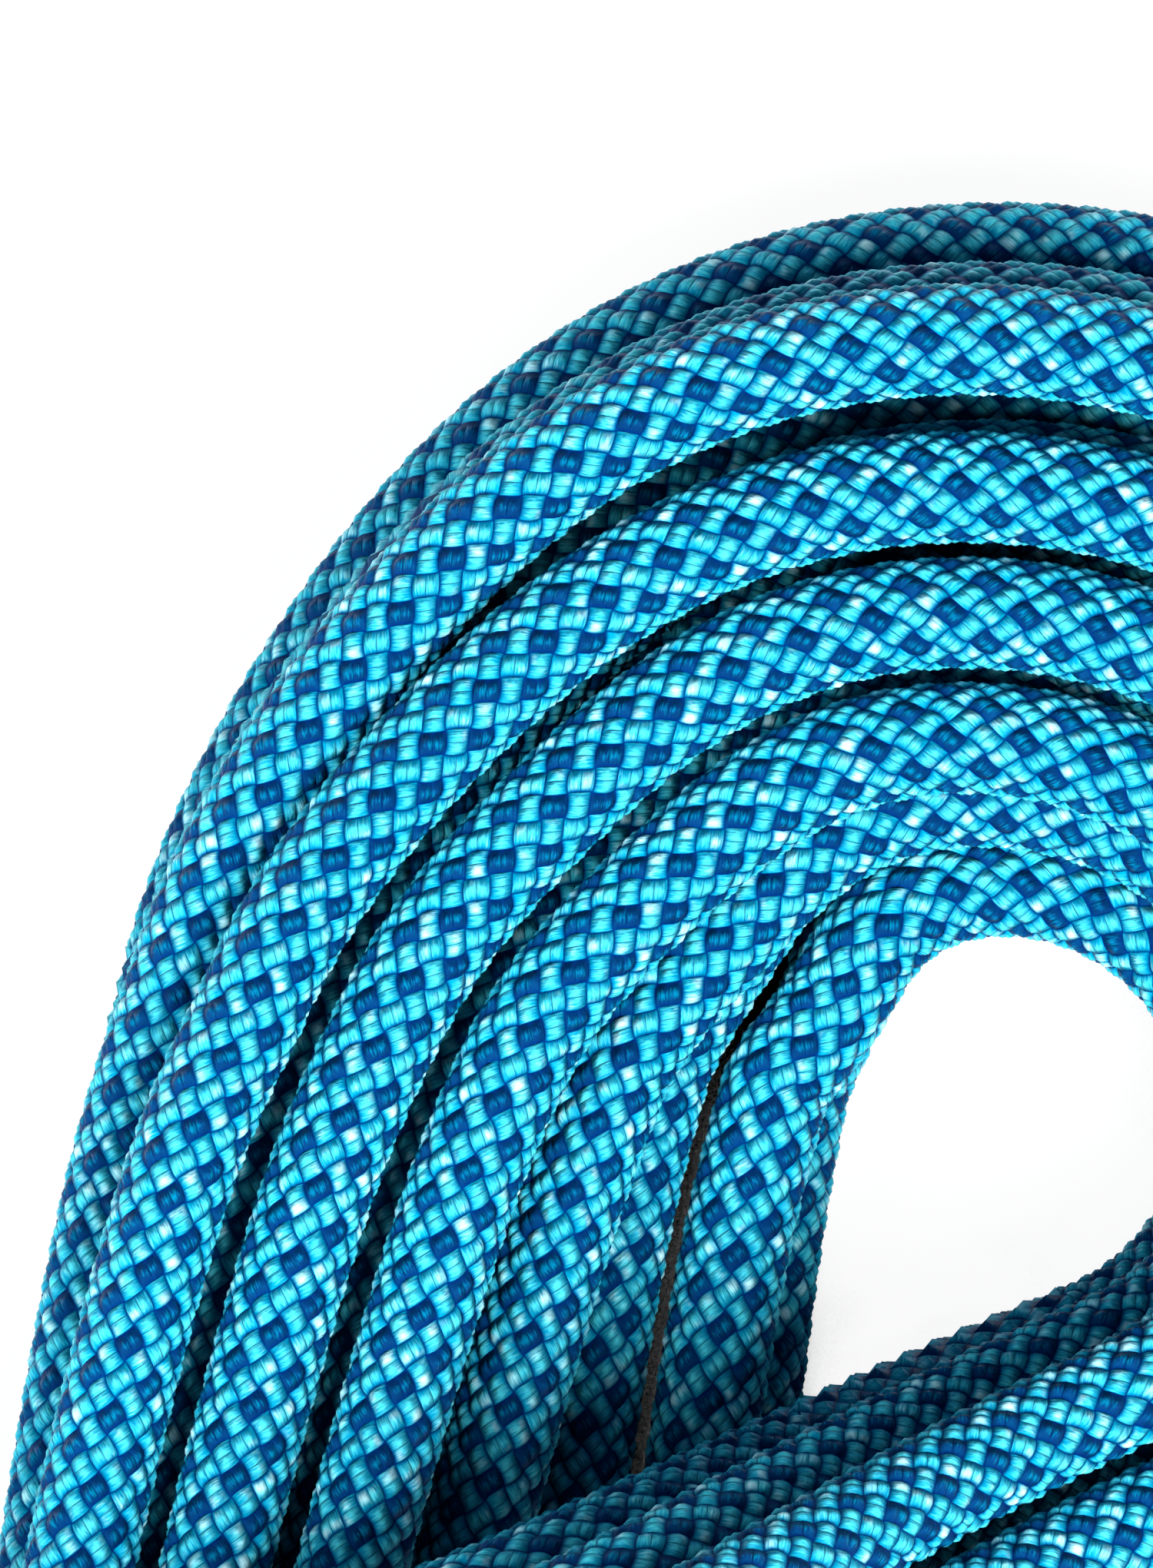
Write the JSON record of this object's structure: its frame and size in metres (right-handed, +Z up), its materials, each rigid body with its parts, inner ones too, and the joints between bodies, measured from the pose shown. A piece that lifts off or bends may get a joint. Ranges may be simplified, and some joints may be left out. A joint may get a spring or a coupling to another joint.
{
  "type": "climbing rope",
  "caption": "Dynamic climbing rope with a braided sheath over a strand core, hanked in a figure of eight and laid flat, its ends sleeved and sealed.",
  "frame": {"origin": "under the middle of the part's box, on the surface that the hank lies on", "axes": "+Z up, +Y along the hank from its lower to its upper lobe, +X to the right seen from above"},
  "size_m": [0.2098, 0.3766, 0.0871],
  "materials": {
    "sheath": "woven, slight sheen",
    "core": "matte",
    "tape": "gloss",
    "label": "matte",
    "sleeve": "clear gloss",
    "tip": "melted, half gloss"
  },
  "bodies": {
    "root": {"rope_hank": "sheath", "sheath_lower_end": "sheath", "core_lower_end": "core", "tape_lower_end": "tape", "label_lower_end": "label", "sleeve_lower_end": "sleeve", "tip_lower_end": "tip", "sheath_upper_end": "sheath", "core_upper_end": "core", "tape_upper_end": "tape", "label_upper_end": "label", "sleeve_upper_end": "sleeve", "tip_upper_end": "tip"}
  },
  "joints": []
}
